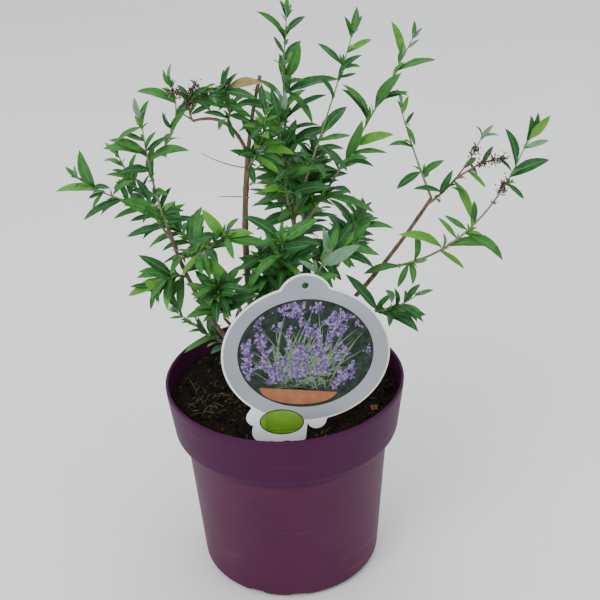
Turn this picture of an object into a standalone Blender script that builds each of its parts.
"""Potted fountain butterfly bush: a nursery pot filled with compost, a plant label and a young shrub.

Sizes and places are in millimetres, and MM turns them into metres where a mesh is made.
The origin is at the middle of the pot's flat underside, +Z is up, and the label faces -Y.
A cane or shoot is told by its tip, by how far its middle bows out, and by what carries it.
A chosen leaf is told by its place along the shoot and by the step from its root to its tip.
"""
import math
import random
from collections import namedtuple

import bmesh
import bpy
from mathutils import Matrix, Vector
from mathutils.bvhtree import BVHTree

MM = 0.001
GAP = 0.3
WELD = 1e-6
OBJECT_NAME = "potted_butterfly_bush"

# Pot
RIM_RADIUS = 85.0
RIM_HEIGHT = 151.5
RIM_LIP = 2.2
COLLAR_RADIUS = 81.0
COLLAR_FOOT = 104.5
COLLAR_CURVE_TOP = 117.0
BODY_TOP_RADIUS = 72.8
BODY_FOOT_RADIUS = 65.5
FOOT_ROUNDING = 7.0
POT_WALL = 1.8
POT_STEPS = 40
DRAIN_PAIRS = 4
DRAIN_FIRST_TURN = -100.0
DRAIN_HALF_SPREAD = 14.0
DRAIN_SIZE = (15.0, 14.0, 5.0)

# Compost
SOIL_LEVEL = 138.0
SOIL_STEPS = 28
SOIL_RINGS = (26.0, 48.0, 66.0)
SOIL_HEAVE = 2.6

# Label
LABEL_HALF_WIDTH = 55.5
LABEL_HALF_HEIGHT = 49.5
LABEL_THICKNESS = 0.8
LABEL_CENTRE = (15.6, -60.0, 202.6)
LABEL_LEAN = 3.0
LABEL_TURN = -9.0
LABEL_YAW = 7.0
LABEL_STEPS = 80
EAR = (-5.4, 39.5, 18.0)
HANG_HOLE = (-6.5, 49.2, 2.5)
TAB_LOBES = ((-28.0, -48.0, 6.5), (-21.0, -58.5, 8.5), (-10.0, -56.0, 11.0), (0.0, -59.0, 8.0),
             (13.0, -48.0, 6.5))
STAKE_HALF_WIDTH = 6.0
STAKE_FOOT = -98.0
STAKE_MIDDLE = -9.0
STAKE_TAPER = 6.0

# Leaves and twigs
LEAF_WIDEST = 0.44
LEAF_SLIMNESS = 3.1
LEAF_THICKNESS = 0.9
LEAF_ARCH = 0.10
LEAF_FOLD = 0.10
LEAF_TURN = 137.5
LEAF_FACING = (0.0, -0.55, 1.0)
TWIG_SIDES = 3
LEAF_DEPTH_TRIES = (0.0, -7.0, 7.0, -14.0)
CANE_STEPS = 8
SHOOT_STEPS = 6
ROOT_FLARE = 3.0
LEAF_SINK = 0.9
LEAF_CLEAR_FROM = 2.5
FLORETS = 2
FLORET_SPREAD = 2.0
FLORET_RADII = (2.4, 3.2)
START_STEP = 0.25
START_TRIES = 80

Shoot = namedtuple("Shoot", "on at tip bow girth leaves fill size", defaults=((), 0, 26.0))


def clear_scene():
    for thing in list(bpy.data.objects):
        bpy.data.objects.remove(thing, do_unlink=True)


def collection(name, parent=None):
    made = bpy.data.collections.new(name)
    (parent or bpy.context.scene.collection).children.link(made)
    return made


def material(name, colour, roughness, metallic=0.0):
    made = bpy.data.materials.new(name)
    made.use_nodes = True
    shader = made.node_tree.nodes["Principled BSDF"]
    shader.inputs["Base Color"].default_value = (*colour, 1.0)
    shader.inputs["Roughness"].default_value = roughness
    shader.inputs["Metallic"].default_value = metallic
    made.diffuse_color = (*colour, 1.0)
    return made


def add_object(name, data, home, finish=None):
    made = bpy.data.objects.new(name, data)
    home.objects.link(made)
    if finish:
        made.data.materials.clear()
        made.data.materials.append(finish)
    return made


def as_mesh(thing, name, home, finish=None, weld=WELD):
    """Turn a curve, or an object with modifiers, into a plain welded mesh and remove the first one."""
    bpy.context.view_layer.update()
    ready = thing.evaluated_get(bpy.context.evaluated_depsgraph_get())
    mesh = bpy.data.meshes.new_from_object(ready)
    shape = bmesh.new()
    shape.from_mesh(mesh)
    if weld:
        bmesh.ops.remove_doubles(shape, verts=shape.verts, dist=weld)
        bmesh.ops.recalc_face_normals(shape, faces=shape.faces)
    if shape.calc_volume(signed=True) < 0.0:
        bmesh.ops.reverse_faces(shape, faces=shape.faces)
    shape.to_mesh(mesh)
    shape.free()
    made = add_object(name, mesh, home, finish)
    made.matrix_world = thing.matrix_world
    bpy.data.objects.remove(thing, do_unlink=True)
    made.name = name
    return made


def arc(centre_r, centre_z, radius, start, end, steps):
    """Points on an arc in the (r, z) half plane, angles in degrees."""
    turns = [math.radians(start + (end - start) * k / steps) for k in range(steps + 1)]
    return [(centre_r + radius * math.cos(a), centre_z + radius * math.sin(a)) for a in turns]


def turned(name, profile, steps, home, finish):
    """A profile of (r, z) points in millimetres, turned about the Z axis."""
    mesh = bpy.data.meshes.new(name)
    points = [(r * MM, 0.0, z * MM) for r, z in profile]
    mesh.from_pydata(points, [(k, k + 1) for k in range(len(points) - 1)], [])
    made = add_object(name, mesh, home, finish)
    screw = made.modifiers.new("Turn", "SCREW")
    screw.axis = "Z"
    screw.steps = steps
    screw.render_steps = steps
    screw.use_merge_vertices = True
    screw.merge_threshold = 0.00001
    screw.use_normal_calculate = True
    return made


def pot_outside():
    """The outer side from the rim down to the underside."""
    curve_centre = BODY_TOP_RADIUS + 0.4
    shoulder = arc(curve_centre, COLLAR_CURVE_TOP, COLLAR_RADIUS - curve_centre, 0.0, -80.0, 2)
    foot_centre = BODY_FOOT_RADIUS - FOOT_ROUNDING
    foot = arc(foot_centre, FOOT_ROUNDING, FOOT_ROUNDING, 0.0, -90.0, 3)
    return [(RIM_RADIUS, RIM_HEIGHT - 0.8)] + shoulder + [(BODY_TOP_RADIUS, COLLAR_FOOT)] + foot


def pot_inside(clearance=0.0):
    """The inner side from the floor up to the rim, moved inwards by a clearance."""
    wall = POT_WALL + clearance
    foot_centre = BODY_FOOT_RADIUS - FOOT_ROUNDING
    foot = arc(foot_centre, FOOT_ROUNDING + POT_WALL, FOOT_ROUNDING - wall, -90.0, 0.0, 2)
    foot = [(r, z + clearance) for r, z in foot]
    return foot + [
        (BODY_TOP_RADIUS - wall, COLLAR_FOOT + 4.0),
        (COLLAR_RADIUS - wall, COLLAR_CURVE_TOP + 1.0),
        (RIM_RADIUS - RIM_LIP - clearance, RIM_HEIGHT - 0.8),
    ]


def build_pot(home, cutters, finish):
    floor_height = pot_inside()[0][1]
    rim = [(RIM_RADIUS - RIM_LIP + 0.6, RIM_HEIGHT), (RIM_RADIUS - 0.6, RIM_HEIGHT)]
    profile = [(0.0, floor_height)] + pot_inside() + rim + pot_outside() + [(0.0, 0.0)]
    pot = turned("pot", profile, POT_STEPS, home, finish)
    for pair in range(DRAIN_PAIRS):
        for side in (-1, 1):
            turn = math.radians(DRAIN_FIRST_TURN + pair * 360.0 / DRAIN_PAIRS + side * DRAIN_HALF_SPREAD)
            add_drain_notch(turn, cutters)
    cut = pot.modifiers.new("Drain notches", "BOOLEAN")
    cut.operation = "DIFFERENCE"
    cut.operand_type = "COLLECTION"
    cut.collection = cutters
    return as_mesh(pot, "pot", home, finish)


def add_drain_notch(turn, cutters):
    """A block that opens the foot of the wall, where water leaves the pot."""
    shape = bmesh.new()
    bmesh.ops.create_cube(shape, size=1.0)
    depth, width, height = DRAIN_SIZE
    bmesh.ops.scale(shape, verts=shape.verts, vec=(depth * MM, width * MM, 2.0 * height * MM))
    mesh = bpy.data.meshes.new("drain_notch")
    shape.to_mesh(mesh)
    shape.free()
    notch = add_object("drain_notch", mesh, cutters)
    reach = (BODY_FOOT_RADIUS + 2.0) * MM
    notch.location = (reach * math.cos(turn), reach * math.sin(turn), 0.0)
    notch.rotation_euler = (0.0, 0.0, turn)
    notch.hide_render = True
    notch.display_type = "WIRE"


def heave(x, y):
    """How far the compost's surface stands above its level, flat about the canes."""
    lumps = math.sin(0.21 * x + 0.8) * math.cos(0.17 * y - 0.4) + 0.6 * math.sin(0.43 * x - 0.31 * y)
    ease = min(1.0, max(0.0, (math.hypot(x, y) - SOIL_RINGS[0]) / SOIL_RINGS[0]))
    return 0.5 * SOIL_HEAVE * lumps * ease


def build_soil(home, cutters, finish):
    """A plug that fills the pot, with an uneven top and a slit for the label's stake."""
    wall = [p for p in pot_inside(GAP) if p[1] < SOIL_LEVEL]
    low, high = pot_inside(GAP)[-2:]
    edge = low[0] + (high[0] - low[0]) * (SOIL_LEVEL - low[1]) / (high[1] - low[1])
    top = [(0.0, SOIL_LEVEL)] + [(r, SOIL_LEVEL) for r in SOIL_RINGS] + [(edge, SOIL_LEVEL)]
    profile = top + wall[::-1] + [(0.0, wall[0][1])]
    blank = turned("compost_blank", profile, SOIL_STEPS, home, finish)
    soil = as_mesh(blank, "compost", home, finish)
    for vertex in soil.data.vertices:
        x, y, z = vertex.co / MM
        if z > SOIL_LEVEL - 0.01 and math.hypot(x, y) < edge - 1.0:
            vertex.co.z += heave(x, y) * MM
    slit = label_plate("stake_slit", cutters, None, GAP)
    slit.hide_render = True
    slit.display_type = "WIRE"
    cut = soil.modifiers.new("Stake slit", "BOOLEAN")
    cut.operation = "DIFFERENCE"
    cut.object = slit
    return as_mesh(soil, "compost", home, finish)


def disc_reach(angle, centre_x, centre_z, radius):
    """How far a ray from the label's middle goes before it leaves a disc, or 0 where it misses."""
    along = centre_x * math.cos(angle) + centre_z * math.sin(angle)
    rest = radius ** 2 - (centre_x ** 2 + centre_z ** 2 - along ** 2)
    return along + math.sqrt(rest) if rest > 0.0 and along > 0.0 else 0.0


def label_reach(angle, spare=0.0):
    """Distance from the label's middle to its edge: the oval, the ear and the tab's lobes."""
    a, b = LABEL_HALF_WIDTH + spare, LABEL_HALF_HEIGHT + spare
    oval = a * b / math.hypot(b * math.cos(angle), a * math.sin(angle))
    lobes = [disc_reach(angle, x, z, radius + spare) for x, z, radius in (EAR,) + TAB_LOBES]
    return max([oval] + lobes)


def label_outline(spare=0.0):
    """The plate's outline with the stake under its tab."""
    points = []
    left = STAKE_MIDDLE - STAKE_HALF_WIDTH - spare
    right = STAKE_MIDDLE + STAKE_HALF_WIDTH + spare
    foot = STAKE_FOOT - spare
    for step in range(LABEL_STEPS):
        angle = 2.0 * math.pi * (step + 0.5) / LABEL_STEPS + 0.5 * math.pi
        reach = label_reach(angle, spare)
        points.append((reach * math.cos(angle), reach * math.sin(angle)))
    below = [k for k, (x, z) in enumerate(points) if z < 0.0 and left - 1.5 < x < right + 1.5]
    shoulder = min(z for x, z in points) + 6.0
    taper = foot + STAKE_TAPER
    stake = [(left, shoulder), (left, taper), (STAKE_MIDDLE, foot), (right, taper), (right, shoulder)]
    kept = [p for k, p in enumerate(points) if k not in below]
    entry = next(k for k, (x, z) in enumerate(kept) if z < 0.0 and x < left and kept[k + 1][0] > right)
    return kept[:entry + 1] + stake + kept[entry + 1:]


def flat_spline(curve, points):
    spline = curve.splines.new("POLY")
    spline.points.add(len(points) - 1)
    for point, (x, z) in zip(spline.points, points):
        point.co = (x * MM, z * MM, 0.0, 1.0)
    spline.use_cyclic_u = True


def label_plate(name, home, finish, spare=0.0):
    """The label's plate, standing in the compost; with spare it is the slit that the stake needs."""
    curve = bpy.data.curves.new(name + "_outline", "CURVE")
    curve.dimensions = "2D"
    curve.fill_mode = "BOTH"
    curve.extrude = (0.5 * LABEL_THICKNESS + spare) * MM
    flat_spline(curve, label_outline(spare))
    if not spare:
        x, z, radius = HANG_HOLE
        turns = [2.0 * math.pi * k / 14 for k in range(14)]
        flat_spline(curve, [(x + radius * math.cos(a), z + radius * math.sin(a)) for a in turns])
    outline = add_object(name + "_outline", curve, home)
    stand = Matrix.Rotation(math.radians(90.0 - LABEL_LEAN), 4, "X")
    turn = Matrix.Rotation(math.radians(LABEL_TURN), 4, "Z")
    yaw = Matrix.Rotation(math.radians(LABEL_YAW), 4, "Z")
    outline.matrix_world = Matrix.Translation(Vector(LABEL_CENTRE) * MM) @ yaw @ stand @ turn
    return as_mesh(outline, name, home, finish)


def path(start, tip, bow, steps):
    """Points of a smooth limb: straight from start to tip, with its middle moved by bow."""
    start, tip, bow = Vector(start), Vector(tip), Vector(bow)
    points = []
    for k in range(steps + 1):
        t = k / steps
        points.append(start.lerp(tip, t) + 4.0 * t * (1.0 - t) * bow)
    return points


def place_on(line, at):
    """The point and the direction at a share of a limb's length."""
    points = line["points"]
    last = len(points) - 1
    k = min(int(at * last), last - 1)
    part = at * last - k
    point = points[k].lerp(points[k + 1], part)
    return point, (points[k + 1] - points[k]).normalized()


def girth_on(line, at):
    """A limb's radius at a share of its length, with the flare of a foot that has one."""
    thick, thin = line["girth"]
    return thick + (thin - thick) * at + line["flare"] * max(0.0, 1.0 - at * CANE_STEPS)


def limb_curve(name, line, home, profile=None, spare=0.0):
    """A tapering limb as a curve with closed ends, made thicker by spare."""
    curve = bpy.data.curves.new(name + "_line", "CURVE")
    curve.dimensions = "3D"
    curve.use_fill_caps = True
    points = line["points"]
    if profile:
        curve.bevel_mode = "OBJECT"
        curve.bevel_object = profile
    else:
        curve.bevel_depth = MM
        curve.bevel_resolution = 1
    spline = curve.splines.new("POLY")
    spline.points.add(len(points) - 1)
    for k, (point, place) in enumerate(zip(spline.points, points)):
        at = k / (len(points) - 1)
        point.co = (*(place * MM), 1.0)
        point.radius = girth_on(line, at) + spare
    return add_object(name + "_line", curve, home)


def twig_profile(home):
    """A three-sided section of one millimetre radius."""
    curve = bpy.data.curves.new("twig_section", "CURVE")
    turns = [2.0 * math.pi * k / TWIG_SIDES for k in range(TWIG_SIDES)]
    flat_spline(curve, [(math.cos(a), math.sin(a)) for a in turns])
    section = add_object("twig_section", curve, home)
    section.hide_render = True
    section.display_type = "WIRE"
    return section


def leaf_shape(root, reach, sink, spare, outward):
    """The eight-faced blade of a leaf as a bmesh, from its sunk root to its tip."""
    chord = Vector(reach)
    length = chord.length
    along = chord.normalized()
    face = Vector(LEAF_FACING) + 0.35 * outward
    face = face - along * face.dot(along)
    if face.length < 0.2:
        face = outward - along * outward.dot(along) + Vector((0.01, -0.02, 0.0))
    face.normalize()
    side = face.cross(along)
    half = 0.5 * length / LEAF_SLIMNESS + spare
    thick = 0.5 * LEAF_THICKNESS + spare
    middle = Vector(root) + along * length * LEAF_WIDEST + face * length * LEAF_ARCH
    shape = bmesh.new()
    bmesh.ops.create_uvsphere(shape, u_segments=4, v_segments=2, radius=1.0)
    for vertex in shape.verts:
        x, y, z = vertex.co
        if z > 0.5:
            place = Vector(root) + along * (length + spare)
        elif z < -0.5:
            place = Vector(root) - along * sink
        elif abs(x) > 0.5:
            place = middle + side * half * x + face * half * LEAF_FOLD
        else:
            place = middle + face * thick * y
        vertex.co = place * MM
    return shape


def bead_shape(centre, radius):
    """One shrivelled floret of a spent flower head."""
    shape = bmesh.new()
    bmesh.ops.create_uvsphere(shape, u_segments=4, v_segments=2, radius=radius * MM)
    bmesh.ops.translate(shape, verts=shape.verts, vec=Vector(centre) * MM)
    return shape


def tree_of(shape):
    return BVHTree.FromBMesh(shape)


def touches(shape, trees):
    own = tree_of(shape)
    return any(own.overlap(other) for other in trees)


def fill_leaves(rng, line, count, size):
    """Leaves by rule: one at each step, each turned on from the last, opening wide at the foot."""
    first_turn = rng.uniform(0.0, 360.0)
    for k in range(count):
        at = 0.10 + 0.88 * (k + 0.6 * rng.random()) / count
        root, along = place_on(line, at)
        across = along.orthogonal().normalized()
        turn = Matrix.Rotation(math.radians(first_turn + k * LEAF_TURN), 3, along)
        side = turn @ across
        spread = math.radians(70.0 - 38.0 * at + rng.uniform(-8.0, 8.0))
        length = size * (0.72 + 0.5 * math.sin(math.pi * min(1.0, 0.15 + at)) - 0.35 * at ** 3)
        length *= rng.uniform(0.88, 1.12)
        aim = along * math.cos(spread) + side * math.sin(spread) - Vector((0.0, 0.0, 0.22))
        yield at, aim.normalized() * length


CANES = {
    "old_cane": Shoot(None, (-14, 8, SOIL_LEVEL + GAP), (-17, -2, 322), (-7, 0, 0), (2.7, 1.7)),
    "old_cane_top": Shoot("old_cane", 1.0, (-7, -2, 373), (-1, 0, 0), (1.4, 1.1)),
    "old_cane_arch": Shoot("old_cane", 0.985, (-51, -6, 346), (4, 0, 10), (1.3, 0.9)),
    "left_cane": Shoot("old_cane", 0.04, (-73, -6, 272), (-6, -2, -7), (1.9, 1.3)),
    "centre_cane": Shoot("old_cane", 0.05, (11, 8, 282), (7, 5, 4), (2.0, 1.3)),
    "right_cane": Shoot("old_cane", 0.02, (104, 14, 278), (6, 2, -6), (2.1, 1.2)),
    "lower_right_cane": Shoot("old_cane", 0.03, (60, -16, 209), (3, -2, 12), (1.7, 1.1)),
    "front_cane": Shoot("old_cane", 0.06, (-38, -28, 214), (2, -6, 4), (1.6, 1.0)),
    "back_left_cane": Shoot("old_cane", 0.05, (-52, 60, 212), (4, -8, 10), (1.7, 1.1)),
    "back_cane": Shoot("old_cane", 0.06, (2, 74, 238), (2, -14, 10), (1.7, 1.1)),
    "back_right_cane": Shoot("old_cane", 0.04, (42, 58, 208), (-2, -8, 14), (1.7, 1.1)),
}

MASSES = {
    "left_spray": (
        Shoot("left_cane", 1.0, (-82, -18, 354), (-2, -2, 0), (1.2, 0.6), (
            (0.02, -27, -4, -5), (0.03, -16, -6, -7), (0.05, 20, -3, 4), (0.07, -28, -8, 20),
            (0.14, 15, -5, 4), (0.15, 14, -9, 0), (0.18, 8, 0, 16), (0.66, -23, -3, 14),
            (0.68, -26, -9, 9), (0.62, 27, -3, 8), (0.74, 8, -2, 12), (0.80, -14, 5, 4),
            (0.92, -17, -3, -8), (0.90, 6, -2, 20), (0.99, -3, 0, 14)), 6, 22),
        Shoot("stem", 0.62, (-63, 2, 368), (8, 0, -4), (0.9, 0.6), (
            (0.42, 11, -5, 17), (0.66, 25, -2, 12), (0.80, -24, 0, 9), (0.85, -8, -4, 9),
            (0.97, -5, 0, 12), (0.99, 1, 0, 15)), 5, 16),
        Shoot("stem", 0.22, (-126, -24, 318), (-2, 2, -5), (1.0, 0.6), (
            (0.45, -25, -5, -12), (0.55, 15, 3, 9), (0.66, -7, -8, -8), (0.70, -28, -3, 2),
            (0.76, -6, -6, 29), (0.80, 13, -8, 2), (0.96, -8, 0, 9), (0.98, -1, 0, 9)), 4, 18),
    ),
    "left_back_sprig": (
        Shoot("left_cane", 0.93, (-103, 6, 322), (-4, 4, 2), (1.1, 0.6), (
            (0.55, -14, -2, 6), (0.70, -12, 2, -10), (0.75, 2, -4, -17), (0.85, -12, -4, 4),
            (0.97, -8, 2, 8)), 9, 20),
    ),
    "left_low_spray": (
        Shoot("left_cane", 0.74, (-84, -14, 232), (0, -3, 6), (1.1, 0.6), (
            (0.12, -3, -8, -22), (0.30, -27, -5, 2), (0.55, -28, -6, -10), (0.75, 10, -8, -18),
            (0.90, -6, -6, -16), (0.98, -17, -4, 3)), 9, 25),
    ),
    "low_left_sprig": (
        Shoot("old_cane", 0.12, (-76, 18, 196), (4, 2, -8), (1.1, 0.6), (
            (0.60, 6, -6, 14), (0.62, 3, -4, 20), (0.66, -8, -8, 14), (0.70, -12, -8, 5),
            (0.97, -4, 2, 14)), 9, 24),
    ),
    "front_rosette": (
        Shoot("front_cane", 1.0, (-41, -34, 244), (0, 2, 0), (1.0, 0.7), (
            (0.70, -2, -14, -16), (0.80, 8, -13, -14), (0.90, -16, -10, -4), (0.92, 22, -8, 0),
            (0.95, -13, -6, 10), (0.97, 3, -4, 17), (0.99, -2, -9, 9)), 11, 24),
    ),
    "left_mid_spray": (
        Shoot("left_cane", 0.86, (-33, -26, 276), (-2, -3, -5), (0.9, 0.6), (
            (0.30, 16, -3, 6), (0.50, -12, -6, -12), (0.62, 3, -10, -16), (0.90, 22, -5, 5),
            (0.92, 32, -7, -3), (0.94, -22, -5, -2), (0.96, -13, -4, 21), (0.98, 5, -11, -13),
            (0.99, 9, 2, 10)), 9, 24),
    ),
    "arch_spray": (
        Shoot("old_cane_arch", 1.0, (-48, -8, 370), (-3, 0, 0), (0.8, 0.6), (
            (0.60, 14, -4, 10),), 2, 15),
        Shoot("stem", 0.40, (-62, -10, 366), (0, 0, 4), (0.7, 0.5), (), 0, 15),
        Shoot("stem", 0.50, (-36, -12, 362), (0, 0, 5), (0.7, 0.5), (
            (0.80, 12, -3, 8),), 2, 15),
    ),
    "arch_tuft": (
        Shoot("old_cane_arch", 0.48, (-30, -12, 368), (3, 0, 2), (0.8, 0.5), (
            (0.15, 3, -4, -13), (0.40, 14, -4, -6), (0.80, -18, -3, 2), (0.85, 8, -3, 14),
            (0.90, 24, -3, 6), (0.94, 20, -10, -2), (0.97, 5, -3, 17)), 7, 19),
    ),
    "old_cane_tuft": (
        Shoot("old_cane", 0.93, (-4, -14, 356), (3, -4, 0), (0.9, 0.6), (
            (0.30, 15, -6, -12), (0.45, 16, -8, 4), (0.70, -14, -4, 4), (0.80, -10, -5, -10),
            (0.97, -2, -2, 18)), 8, 22),
    ),
    "centre_spire": (
        Shoot("centre_cane", 1.0, (11, 14, 406), (-4, 0, 0), (1.2, 0.5), (
            (0.04, -25, -4, -5), (0.07, -16, 3, 5), (0.15, 4, -10, -22), (0.21, -19, -5, 1),
            (0.26, -13, -2, 31), (0.43, 6, -4, -13), (0.45, 28, -4, 18), (0.59, 36, 0, 9),
            (0.62, 18, -8, -22), (0.67, 11, -3, 26), (0.78, -3, 13, -4), (0.87, -17, -5, 21),
            (0.91, 13, 9, 8), (0.985, -4, 0, 12), (0.99, 1, 0, 14)), 6, 28),
    ),
    "centre_second": (
        Shoot("centre_cane", 0.84, (5, -6, 352), (-3, -5, 2), (1.0, 0.6), (
            (0.18, -17, -8, 1), (0.40, -14, -8, -10), (0.52, -17, -6, 20), (0.60, 20, -8, 4),
            (0.86, -27, -2, -2), (0.88, -5, -4, 25), (0.95, -26, 2, 8), (0.97, 3, -2, 16),
            (0.99, -3, -2, 15)), 7, 26),
    ),
    "right_spire": (
        Shoot("centre_cane", 0.93, (51, -14, 402), (0, -2, -2), (1.0, 0.5), (
            (0.30, -25, -8, -8), (0.42, 19, -6, -17), (0.44, 21, 5, 1), (0.76, 15, -8, 19),
            (0.84, -15, 9, 12), (0.90, 16, 7, 6), (0.97, -4, 0, 14), (0.98, 7, 0, 13),
            (0.99, 3, 0, 17)), 5, 26),
    ),
    "right_tall_spray": (
        Shoot("centre_cane", 0.76, (93, 34, 384), (-1, 0, -8), (1.2, 0.5), (
            (0.10, -12, -10, -17), (0.20, -32, -8, -10), (0.26, 35, -4, -12), (0.32, -28, -12, -8),
            (0.40, -44, -8, 0), (0.46, 11, -5, 29), (0.48, 26, -4, 2), (0.52, 27, -3, 9),
            (0.64, -17, 4, 22), (0.66, -18, 2, 23), (0.70, 17, -3, 25), (0.72, 14, 5, 6),
            (0.74, 18, -6, 4), (0.86, 26, -4, 8), (0.91, -7, 0, 25), (0.95, 8, 0, 6),
            (0.99, 1, 0, 12)), 6, 26),
    ),
    "right_curl_spray": (
        Shoot("right_cane", 1.0, (84, 32, 338), (-1, 2, 0), (0.9, 0.6), (
            (0.25, 14, -6, 12), (0.28, -17, -5, -10), (0.78, 6, -5, -13), (0.90, 4, 2, 12),
            (0.98, -3, 0, 13)), 3, 16),
    ),
    "seed_head_spray": (
        Shoot("right_cane", 0.97, (136, 10, 322), (2, -2, -3), (1.0, 0.6), (
            (0.20, 8, -3, 19), (0.24, -20, -4, 5), (0.44, 12, -8, -26), (0.70, 6, -4, -8),
            (0.97, 8, 0, 10), (0.98, -4, 0, 9), (0.99, 12, 0, 1)), 4, 14),
        Shoot("stem", 0.45, (148, -4, 312), (2, 0, 4), (0.8, 0.5), (
            (0.85, 10, 0, -10),), 3, 13),
    ),
    "right_arching_spray": (
        Shoot("right_cane", 0.66, (158, -34, 338), (9, -8, -16), (1.2, 0.6), (
            (0.10, -24, -4, -4), (0.16, -8, -5, -16), (0.19, 0, -3, 25), (0.36, -30, -4, 13),
            (0.38, 31, -3, 0), (0.45, -13, 0, 16), (0.50, 25, -6, -18), (0.52, -15, 3, 10),
            (0.80, 12, -2, -11), (0.83, 24, -3, 12), (0.88, -7, 3, 24), (0.95, 16, 0, 5),
            (0.975, 2, 0, 18), (0.98, 6, 0, 19), (0.99, 13, 0, 15)), 5, 18),
    ),
    "lower_right_sprig": (
        Shoot("lower_right_cane", 1.0, (90, -34, 230), (0, -1, -3), (1.0, 0.6), (
            (0.12, 29, -6, -14), (0.18, -22, -2, 30), (0.30, 29, 4, -7), (0.40, 6, -8, 12),
            (0.55, -1, -3, 16), (0.62, 12, -6, -10), (0.97, 12, 0, 4)), 4, 22),
    ),
    "label_top_shoot": (
        Shoot("front_cane", 0.62, (33, -44, 272), (6, -4, -6), (1.1, 0.7), (
            (0.62, 22, 2, -12), (0.80, -12, -4, 12), (0.86, 25, -4, 16), (0.95, -2, 0, 19),
            (0.98, 6, -3, 17)), 7, 24),
    ),
    "centre_front_spray": (
        Shoot("centre_cane", 0.52, (3, -36, 276), (-2, -10, -4), (1.1, 0.6), (
            (0.70, 14, -8, -12), (0.80, -18, -6, -14), (0.86, 18, -8, 6), (0.92, 25, -4, 1),
            (0.94, -24, -2, 21), (0.96, 24, -4, 17), (0.97, -13, -8, 3), (0.99, 0, -4, 14)), 8, 28),
    ),
    "centre_low_spray": (
        Shoot("centre_cane", 0.45, (-12, -22, 262), (-2, -6, -6), (1.1, 0.6), (
            (0.75, 8, -6, -16), (0.85, -10, -6, -17), (0.92, -16, -8, -6), (0.96, 12, -10, -8)), 13, 28),
    ),
    "centre_right_spray": (
        Shoot("centre_cane", 0.66, (50, -16, 262), (2, -4, -4), (1.0, 0.6), (
            (0.35, 8, -8, 16), (0.55, 28, -4, 10), (0.65, 26, -4, -10), (0.80, 14, -4, 12),
            (0.90, 20, -8, -4), (0.97, 12, -2, 16)), 5, 28),
    ),
    "centre_back_spray": (
        Shoot("centre_cane", 0.88, (24, 30, 318), (4, 6, -4), (1.0, 0.6), (
            (0.60, -20, -6, 8), (0.85, 22, -8, 4)), 12, 28),
    ),
    "back_left_spray": (
        Shoot("back_left_cane", 1.0, (-84, 88, 236), (-4, 4, 4), (1.0, 0.6), (), 14, 25),
    ),
    "back_spray": (
        Shoot("back_cane", 1.0, (-6, 98, 292), (2, 6, 4), (1.0, 0.6), (), 14, 26),
    ),
    "back_right_spray": (
        Shoot("back_right_cane", 1.0, (58, 88, 240), (4, 4, 2), (1.0, 0.6), (), 14, 25),
    ),
    "back_centre_spray": (
        Shoot("centre_cane", 0.60, (32, 54, 296), (0, 6, -6), (1.1, 0.6), (), 14, 27),
    ),
}

HEADS = {
    "arch_spray": ((0, 0.5), (0, 0.75), (0, 1.0), (1, 0.6), (1, 0.95), (2, 0.6)),
    "seed_head_spray": ((0, 0.86), (1, 0.5), (1, 0.75), (1, 0.95)),
    "right_arching_spray": ((0, 0.76), (0, 0.80)),
}


def limb_starts(spec, carrier):
    """Places where a limb may start, each a little further out from the limb that carries it."""
    point, along = place_on(carrier, spec.at)
    if spec.at >= 1.0:
        toward = along
        near = GAP
    else:
        toward = (path(point, spec.tip, spec.bow, CANE_STEPS)[1] - point).normalized()
        near = GAP + girth_on(carrier, spec.at)
    for step in range(START_TRIES):
        yield point + toward * (near + step * START_STEP)


def is_clear(name, line, trees, home, section):
    """Whether a limb keeps the clearance from all that stands already."""
    trial = as_mesh(limb_curve(name, line, home, section, GAP), name + "_trial", home)
    hit = any(tree_of_object(trial).overlap(other) for other in trees)
    bpy.data.objects.remove(trial, do_unlink=True)
    return not hit


def grow_limb(name, spec, starts, steps, trees, home, section=None, flare=0.0):
    """A limb from the first of its starts that leaves it clear, or nothing where none does."""
    for start in starts:
        line = {"points": path(start, spec.tip, spec.bow, steps), "girth": spec.girth, "flare": flare}
        if is_clear(name, line, trees, home, section):
            limb = as_mesh(limb_curve(name, line, home, section), name, home)
            return line, limb
    return None, None


def flatten_foot(cane, level):
    """Level the cut at the foot of a cane that leans."""
    for vertex in cane.data.vertices:
        if vertex.co.z < (level + ROOT_FLARE) * MM:
            vertex.co.z = level * MM


def build_canes(trees, home, finish):
    """The old cane and the canes that rise from its foot; their shapes join the trees to keep clear of."""
    lines = {}
    for name, spec in CANES.items():
        starts = limb_starts(spec, lines[spec.on]) if spec.on else [Vector(spec.at)]
        flare = 0.0 if spec.on else ROOT_FLARE
        near = trees if spec.on else []
        lines[name], cane = grow_limb(name, spec, starts, CANE_STEPS, near, home, flare=flare)
        cane.data.materials.append(finish)
        if not spec.on:
            flatten_foot(cane, spec.at[2])
        trees.append(tree_of_object(cane))
    return lines


def grow_stems(name, shoots, lines, trees, section):
    """A mass's stem, clear of its cane, and the side shoots that rise from it."""
    pieces = collection(name + "_pieces")
    grown = []
    for number, spec in enumerate(shoots):
        if number == 0:
            starts = limb_starts(spec, lines[spec.on])
        else:
            starts = [place_on(grown[0][0], spec.at)[0]]
        grown.append(grow_limb(name + "_stem", spec, starts, SHOOT_STEPS, trees, pieces, section))
    return pieces, grown


def add_piece(name, shape, pieces):
    mesh = bpy.data.meshes.new(name)
    shape.to_mesh(mesh)
    add_object(name, mesh, pieces)


def outward_from_canes(root):
    """The level direction in which a leaf looks away from the middle of the shrub."""
    away = Vector((root.x + 10.0, root.y, 0.0))
    return away.normalized() if away.length > 1.0 else Vector((0.0, -1.0, 0.0))


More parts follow.
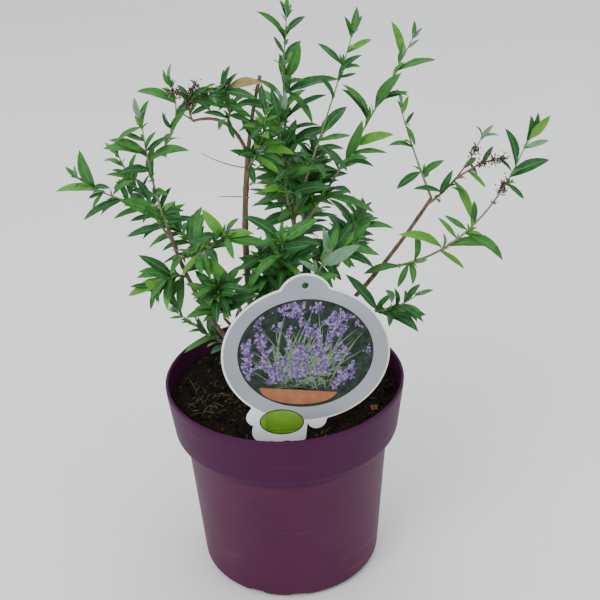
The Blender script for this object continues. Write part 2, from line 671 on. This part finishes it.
def clear_reach(root, reach, trees):
    """The reach of a leaf that keeps clear, if need be moved in depth; None where there is no room."""
    for depth in LEAF_DEPTH_TRIES:
        moved = reach + Vector((0.0, depth, 0.0))
        wide = leaf_shape(root, moved, -LEAF_CLEAR_FROM, GAP, outward_from_canes(root))
        clash = touches(wide, trees)
        wide.free()
        if not clash:
            return moved
    return None


def grow_leaves(name, shoots, grown, trees, pieces):
    """The chosen leaves of each shoot, then the leaves of the rule where there is still room."""
    rng = random.Random(name)
    own = []
    for spec, (line, stem) in zip(shoots, grown):
        chosen = [(at, Vector(reach)) for at, *reach in spec.leaves]
        ruled = list(fill_leaves(rng, line, spec.fill, spec.size)) if line else []
        for k, (at, reach) in enumerate((chosen + ruled) if line else []):
            root = place_on(line, at)[0]
            reach = clear_reach(root, reach, trees + (own if k >= len(chosen) else []))
            if reach is None:
                continue
            shape = leaf_shape(root, reach, LEAF_SINK * girth_on(line, at), 0.0, outward_from_canes(root))
            own.append(tree_of(shape))
            add_piece(name + "_leaf", shape, pieces)
            shape.free()


def grow_heads(name, grown, trees, pieces):
    """Spent flower heads: a few shrivelled florets close together on the stem."""
    rng = random.Random(name + " heads")
    for number, at in HEADS.get(name, ()):
        line = grown[number][0]
        for floret in range(FLORETS if line else 0):
            offset = Vector([rng.uniform(-FLORET_SPREAD, FLORET_SPREAD) for axis in range(3)])
            shape = bead_shape(place_on(line, at)[0] + offset, rng.uniform(*FLORET_RADII))
            if not touches(shape, trees):
                add_piece(name + "_head", shape, pieces)
            shape.free()


def join_mass(name, stem, pieces, home, finish):
    """Fuse the pieces of a mass into its stem with one union, and drop what stays loose."""
    pieces.objects.unlink(stem)
    home.objects.link(stem)
    union = stem.modifiers.new("Fuse", "BOOLEAN")
    union.operation = "UNION"
    union.operand_type = "COLLECTION"
    union.collection = pieces
    union.solver = "MANIFOLD"
    mass = as_mesh(stem, name, home, finish, weld=0.0)
    for thing in list(pieces.objects):
        bpy.data.objects.remove(thing, do_unlink=True)
    bpy.data.collections.remove(pieces)
    keep_largest_body(mass)
    return mass


def keep_largest_body(thing):
    shape = bmesh.new()
    shape.from_mesh(thing.data)
    bodies = []
    waiting = set(shape.verts)
    while waiting:
        front = [waiting.pop()]
        body = set(front)
        while front:
            vertex = front.pop()
            for edge in vertex.link_edges:
                other = edge.other_vert(vertex)
                if other in waiting:
                    waiting.remove(other)
                    body.add(other)
                    front.append(other)
        bodies.append(body)
    bodies.sort(key=len, reverse=True)
    scraps = [v for body in bodies[1:] for v in body]
    bmesh.ops.delete(shape, geom=scraps, context="VERTS")
    shape.to_mesh(thing.data)
    shape.free()


def tree_of_object(thing):
    shape = bmesh.new()
    shape.from_mesh(thing.data)
    tree = tree_of(shape)
    shape.free()
    return tree


def main():
    clear_scene()
    home = collection(OBJECT_NAME)
    cutters = collection("cutters")
    notches = collection("drain_notches", cutters)
    plum = material("pot_plastic", (0.092, 0.031, 0.070), 0.45)
    peat = material("compost", (0.020, 0.014, 0.010), 0.95)
    card = material("label_plastic", (0.55, 0.56, 0.60), 0.35)
    bark = material("bark", (0.16, 0.10, 0.065), 0.85)
    green = material("foliage", (0.045, 0.16, 0.045), 0.6)
    label = label_plate("label", home, card)
    pot = build_pot(home, notches, plum)
    soil = build_soil(home, cutters, peat)
    trees = [tree_of_object(thing) for thing in (label, pot, soil)]
    lines = build_canes(trees, home, bark)
    section = twig_profile(cutters)
    stems = {}
    stem_trees = {}
    for name, shoots in MASSES.items():
        others = trees + [tree for group in stem_trees.values() for tree in group]
        stems[name] = grow_stems(name, shoots, lines, others, section)
        stem_trees[name] = [tree_of_object(stem) for line, stem in stems[name][1] if stem]
    for name, shoots in MASSES.items():
        pieces, grown = stems[name]
        others = trees + [tree for other, group in stem_trees.items() if other != name for tree in group]
        grow_leaves(name, shoots, grown, others, pieces)
        grow_heads(name, grown, others, pieces)
        mass = join_mass(name, grown[0][1], pieces, home, green)
        trees.append(tree_of_object(mass))


main()
